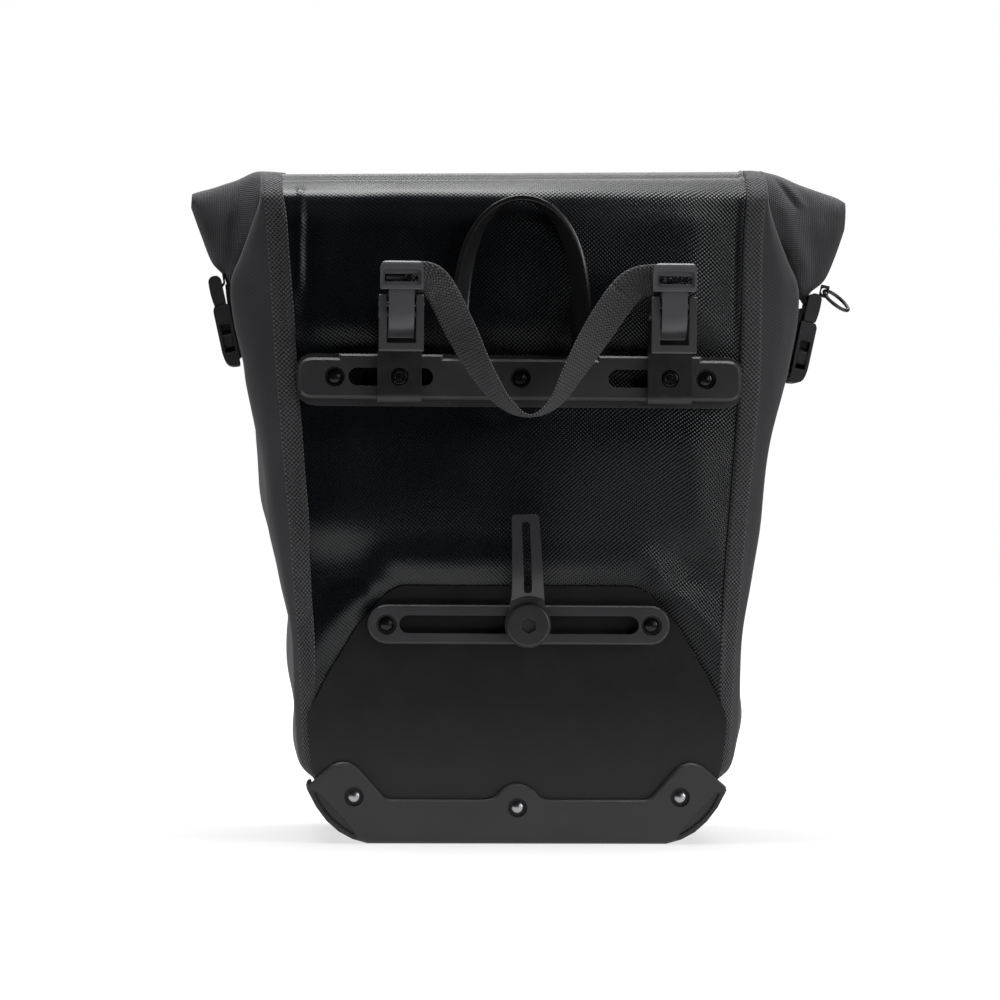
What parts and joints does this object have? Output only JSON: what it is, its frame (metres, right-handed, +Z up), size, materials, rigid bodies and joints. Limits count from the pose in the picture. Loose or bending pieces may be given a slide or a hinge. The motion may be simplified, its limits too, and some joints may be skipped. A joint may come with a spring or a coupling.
{
  "type": "bicycle pannier bag",
  "caption": "Roll-top bicycle pannier seen from its rack side, with two sliding rack hooks, a pull strap, carry handle, lower anchor arm and side buckles.",
  "frame": {"origin": "on the floor, under the middle of the bag: a point of the flat underside of the bottom panel, midway between the two sides and midway between the outer back and front faces", "axes": "-Y out of the rack side (the face with the rails and hooks), +Y to the plain front, +Z up, +X to the right when looking at the rack side"},
  "size_m": [0.4214, 0.2176, 0.423],
  "materials": {
    "gloss_tarpaulin": "glossy coated woven tarpaulin with a fine diamond weave",
    "matte_fabric": "matte coated woven fabric, charcoal",
    "webbing": "ribbed polyester webbing, dark grey",
    "moulded_plastic": "satin injection moulded plastic, dark grey",
    "wear_plate": "matte sheet plastic",
    "board": "matte sheet plastic",
    "bright_steel": "bright steel",
    "black_steel": "black oxide"
  },
  "bodies": {
    "bag": {"back_panel": "gloss_tarpaulin", "front_panel": "gloss_tarpaulin", "bottom_panel": "gloss_tarpaulin", "roll_top": "gloss_tarpaulin", "seam_strip_left": "matte_fabric", "seam_strip_right": "matte_fabric", "side_gusset_left": "matte_fabric", "side_gusset_right": "matte_fabric", "roll_end_left": "matte_fabric", "roll_end_right": "matte_fabric", "pull_strap": "webbing", "side_strap_left": "webbing", "side_strap_right": "webbing", "left_buckle_tab": "webbing", "right_buckle_tab": "webbing", "ring_loop": "webbing", "carry_handle": "webbing", "upper_rail": "moulded_plastic", "lower_rail": "moulded_plastic", "bottom_edge_protector": "moulded_plastic", "left_buckle_male": "moulded_plastic", "right_buckle_male": "moulded_plastic", "lower_wear_plate": "wear_plate", "stiffener_board": "board", "protector_rivet_left": "bright_steel", "protector_rivet_middle": "bright_steel", "protector_rivet_right": "bright_steel", "upper_rail_screw_left": "black_steel", "upper_rail_screw_middle": "black_steel", "upper_rail_screw_right": "black_steel", "lower_rail_screw_left": "black_steel", "lower_rail_screw_right": "black_steel", "upper_rail_nut_left": "black_steel", "upper_rail_nut_middle": "black_steel", "upper_rail_nut_right": "black_steel", "lower_rail_nut_left": "black_steel", "lower_rail_nut_right": "black_steel"},
    "left_hook": {"left_hook_body": "moulded_plastic", "left_hook_bolt": "black_steel", "left_hook_nut": "black_steel", "left_lever_pin": "bright_steel"},
    "left_lever": {"left_release_lever": "moulded_plastic"},
    "right_hook": {"right_hook_body": "moulded_plastic", "right_hook_bolt": "black_steel", "right_hook_nut": "black_steel", "right_lever_pin": "bright_steel"},
    "right_lever": {"right_release_lever": "moulded_plastic"},
    "anchor_slider": {"anchor_bolt": "black_steel", "anchor_nut": "black_steel"},
    "anchor": {"anchor_arm": "moulded_plastic"},
    "left_buckle": {"left_buckle_female": "moulded_plastic"},
    "right_buckle": {"right_buckle_female": "moulded_plastic"},
    "key_ring": {"ring": "moulded_plastic"}
  },
  "joints": [
    {"name": "left_hook_slide", "type": "slide", "parent": "bag", "child": "left_hook", "axis": [1, 0, 0], "range_m": [-0.025, 0.0145], "deforming": ["pull_strap"]},
    {"name": "left_lever_pivot", "type": "hinge", "parent": "left_hook", "child": "left_lever", "pos_m": [-0.0754, -0.121, 0.3333], "axis": [-1, 0, 0], "range_deg": [0, 40], "stiffness_Nm_per_rad": 0.01, "springref_deg": -17.19, "deforming": ["pull_strap"]},
    {"name": "right_hook_slide", "type": "slide", "parent": "bag", "child": "right_hook", "axis": [1, 0, 0], "range_m": [-0.032, 0.008], "deforming": ["pull_strap"]},
    {"name": "right_lever_pivot", "type": "hinge", "parent": "right_hook", "child": "right_lever", "pos_m": [0.0928, -0.121, 0.3333], "axis": [-1, 0, 0], "range_deg": [0, 40], "stiffness_Nm_per_rad": 0.01, "springref_deg": -17.19, "deforming": ["pull_strap"]},
    {"name": "anchor_slide", "type": "slide", "parent": "bag", "child": "anchor_slider", "axis": [1, 0, 0], "range_m": [-0.072, 0.061]},
    {"name": "anchor_swivel", "type": "hinge", "parent": "anchor_slider", "child": "anchor", "pos_m": [0.0053, -0.098, 0.1363], "axis": [0, 1, 0], "range_deg": [-90, 90]},
    {"name": "left_buckle_release", "type": "slide", "parent": "bag", "child": "left_buckle", "axis": [0.2181, 0, -0.9759], "range_m": [0, 0.03], "deforming": ["left_buckle_male", "side_strap_left"]},
    {"name": "right_buckle_release", "type": "slide", "parent": "bag", "child": "right_buckle", "axis": [-0.2079, 0, -0.9781], "range_m": [0, 0.03], "deforming": ["right_buckle_male", "side_strap_right"]},
    {"name": "ring_swing", "type": "hinge", "parent": "bag", "child": "key_ring", "pos_m": [0.19877, -0.025, 0.3485], "axis": [0, 1, 0], "range_deg": [-45, 18]}
  ]
}
